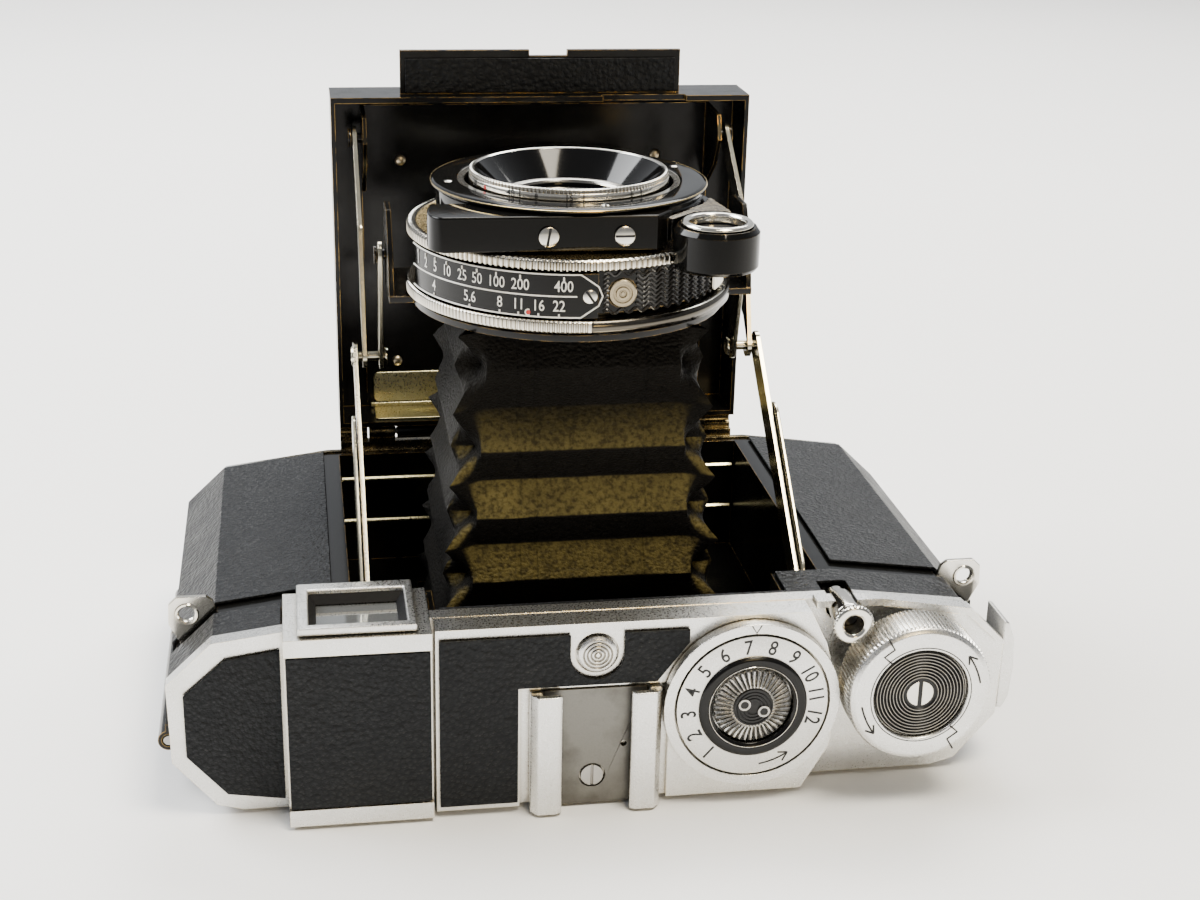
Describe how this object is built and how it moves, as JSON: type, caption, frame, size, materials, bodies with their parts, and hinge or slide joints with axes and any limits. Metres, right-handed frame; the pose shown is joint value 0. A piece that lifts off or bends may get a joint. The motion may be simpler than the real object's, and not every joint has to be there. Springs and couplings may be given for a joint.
{
  "type": "folding camera",
  "caption": "Folding roll-film camera lying on its back with its door and bellows open, lens standard on struts, chrome top cover with finder, shoe, counter dial and winding knob.",
  "frame": {"origin": "middle of the back's flat resting face, camera lying on its back", "axes": "+X to the camera's right seen from the top cover, along the body; +Y from the top cover to the door hinge; +Z the way the lens looks"},
  "size_m": [0.1587, 0.1091, 0.1216],
  "materials": {
    "chrome_cover": "satin chrome, bright edges, brass showing where worn",
    "nickel": "polished nickel",
    "steel": "dull worn steel",
    "black_enamel": "gloss black enamel, brass showing at edges",
    "grained_leather": "black pebbled covering",
    "bellows_leather": "thin black leather with a golden sheen",
    "clear_glass": "coated optical glass"
  },
  "bodies": {
    "body": {"body_shell": "black_enamel", "leather_front_right": "grained_leather", "leather_front_left": "grained_leather", "leather_strip_right": "grained_leather", "leather_strip_left": "grained_leather", "strap_lug_right": "nickel", "strap_lug_left": "nickel", "top_cover": "chrome_cover", "leather_top_left": "grained_leather", "leather_top_middle": "grained_leather", "shoe_base_plate": "steel", "shoe_rail_left": "chrome_cover", "shoe_rail_right": "chrome_cover", "shoe_screw": "steel", "leather_finder": "grained_leather", "finder_front_frame": "chrome_cover", "finder_front_glass": "clear_glass", "finder_rear_glass": "clear_glass", "dial_ring": "chrome_cover", "bottom_cover": "chrome_cover", "door_hinge_pin": "steel", "tripod_bush": "steel", "film_roller_right": "nickel", "film_roller_left": "nickel", "back_hinge_pin": "steel", "bellows": "bellows_leather"},
    "door": {"door_pan": "black_enamel", "door_leather": "grained_leather", "door_tab_leather": "grained_leather", "door_liner": "black_enamel"},
    "lower_struts": {"lower_strut_right": "nickel", "lower_strut_left": "nickel"},
    "standard_arms": {"standard_arm_right": "nickel", "standard_arm_left": "nickel"},
    "door_stays": {"door_stay_right": "nickel", "door_stay_left": "nickel"},
    "lens_front": {"lens_standard": "black_enamel", "shutter_housing": "black_enamel", "scale_plaque": "black_enamel", "rangefinder_arm": "black_enamel", "bezel_plate": "black_enamel", "wedge_housing": "black_enamel"},
    "focusing": {"focus_ring": "nickel", "front_lens": "clear_glass"},
    "wedge": {"wedge_ring": "chrome_cover", "wedge_glass": "clear_glass"},
    "speed_setting": {"speed_ring": "nickel"},
    "aperture_setting": {"aperture_ring": "nickel"},
    "winder": {"winding_knob": "chrome_cover", "winding_screw": "nickel", "winding_shaft": "steel", "take_up_spool": "black_enamel"},
    "counter": {"counter_disc": "chrome_cover"},
    "counter_setting": {"counter_star": "nickel"},
    "release": {"release_button": "nickel"},
    "door_catch": {"door_button": "chrome_cover"},
    "back": {"back_door": "black_enamel", "leather_back": "grained_leather", "pressure_plate": "steel"},
    "back_catch": {"back_latch": "chrome_cover"}
  },
  "joints": [
    {"name": "door_hinge", "type": "hinge", "parent": "body", "child": "door", "pos_m": [0, 0.043, 0.04], "axis": [1, 0, 0], "range_deg": [0, 90], "deforming": ["bellows"]},
    {"name": "lower_strut_turn", "type": "hinge", "parent": "body", "child": "lower_struts", "pos_m": [0, -0.02734, 0.03171], "axis": [1, 0, 0], "range_deg": [-31, 0.5]},
    {"name": "knee_turn", "type": "hinge", "parent": "lower_struts", "child": "standard_arms", "pos_m": [0, 0.01276, 0.06714], "axis": [1, 0, 0], "range_deg": [-0.5, 163]},
    {"name": "standard_turn", "type": "hinge", "parent": "standard_arms", "child": "lens_front", "pos_m": [0, 0.00742, 0.08905], "axis": [1, 0, 0], "range_deg": [-132, 0.5]},
    {"name": "stay_turn", "type": "hinge", "parent": "door", "child": "door_stays", "pos_m": [0, 0.04107, 0.10448], "axis": [1, 0, 0], "range_deg": [-0.5, 42]},
    {"name": "focus_turn", "type": "hinge", "parent": "lens_front", "child": "focusing", "pos_m": [-0.0008, -0.0025, 0.105], "axis": [0, 0, 1], "range_deg": [0, 270]},
    {"name": "wedge_turn", "type": "hinge", "parent": "lens_front", "child": "wedge", "pos_m": [0.0215, -0.0292, 0.103], "axis": [0, 0, 1], "range_deg": [-91, 0.5]},
    {"name": "speed_ring_turn", "type": "hinge", "parent": "lens_front", "child": "speed_setting", "pos_m": [-0.0008, -0.0025, 0.097], "axis": [0, 0, 1], "range_deg": [-40, 70]},
    {"name": "aperture_ring_turn", "type": "hinge", "parent": "lens_front", "child": "aperture_setting", "pos_m": [-0.0008, -0.0025, 0.086], "axis": [0, 0, 1], "range_deg": [-45, 15]},
    {"name": "winding_knob_turn", "type": "hinge", "parent": "body", "child": "winder", "pos_m": [0.0565, -0.05, 0.0229], "axis": [0, -1, 0], "continuous": true},
    {"name": "counter_turn", "type": "hinge", "parent": "body", "child": "counter", "pos_m": [0.0268, -0.05, 0.0201], "axis": [0, -1, 0], "continuous": true},
    {"name": "counter_setting_turn", "type": "hinge", "parent": "body", "child": "counter_setting", "pos_m": [0.0268, -0.051, 0.0201], "axis": [0, -1, 0], "continuous": true},
    {"name": "release_press", "type": "slide", "parent": "body", "child": "release", "axis": [0, 1, 0], "range_m": [0, 0.0025], "stiffness_N_per_m": 600, "springref_m": -0.0008},
    {"name": "door_button_press", "type": "slide", "parent": "body", "child": "door_catch", "axis": [0, 1, 0], "range_m": [0, 0.0012], "stiffness_N_per_m": 800, "springref_m": -0.0006},
    {"name": "back_hinge", "type": "hinge", "parent": "body", "child": "back", "pos_m": [-0.0774, 0, 0.0086], "axis": [0, 1, 0], "range_deg": [0, 120]},
    {"name": "back_latch_slide", "type": "slide", "parent": "body", "child": "back_catch", "axis": [0, 1, 0], "range_m": [0, 0.003]}
  ],
  "couplings": [
    {"joint": "lower_strut_turn", "follows": "door_hinge", "ratio": -0.34053},
    {"joint": "knee_turn", "follows": "door_hinge", "ratio": 1.8037},
    {"joint": "standard_turn", "follows": "door_hinge", "ratio": -1.4632},
    {"joint": "stay_turn", "follows": "door_hinge", "ratio": 0.46318},
    {"joint": "wedge_turn", "follows": "focus_turn", "ratio": -0.3333},
    {"joint": "counter_turn", "follows": "winding_knob_turn", "ratio": 0.05}
  ]
}
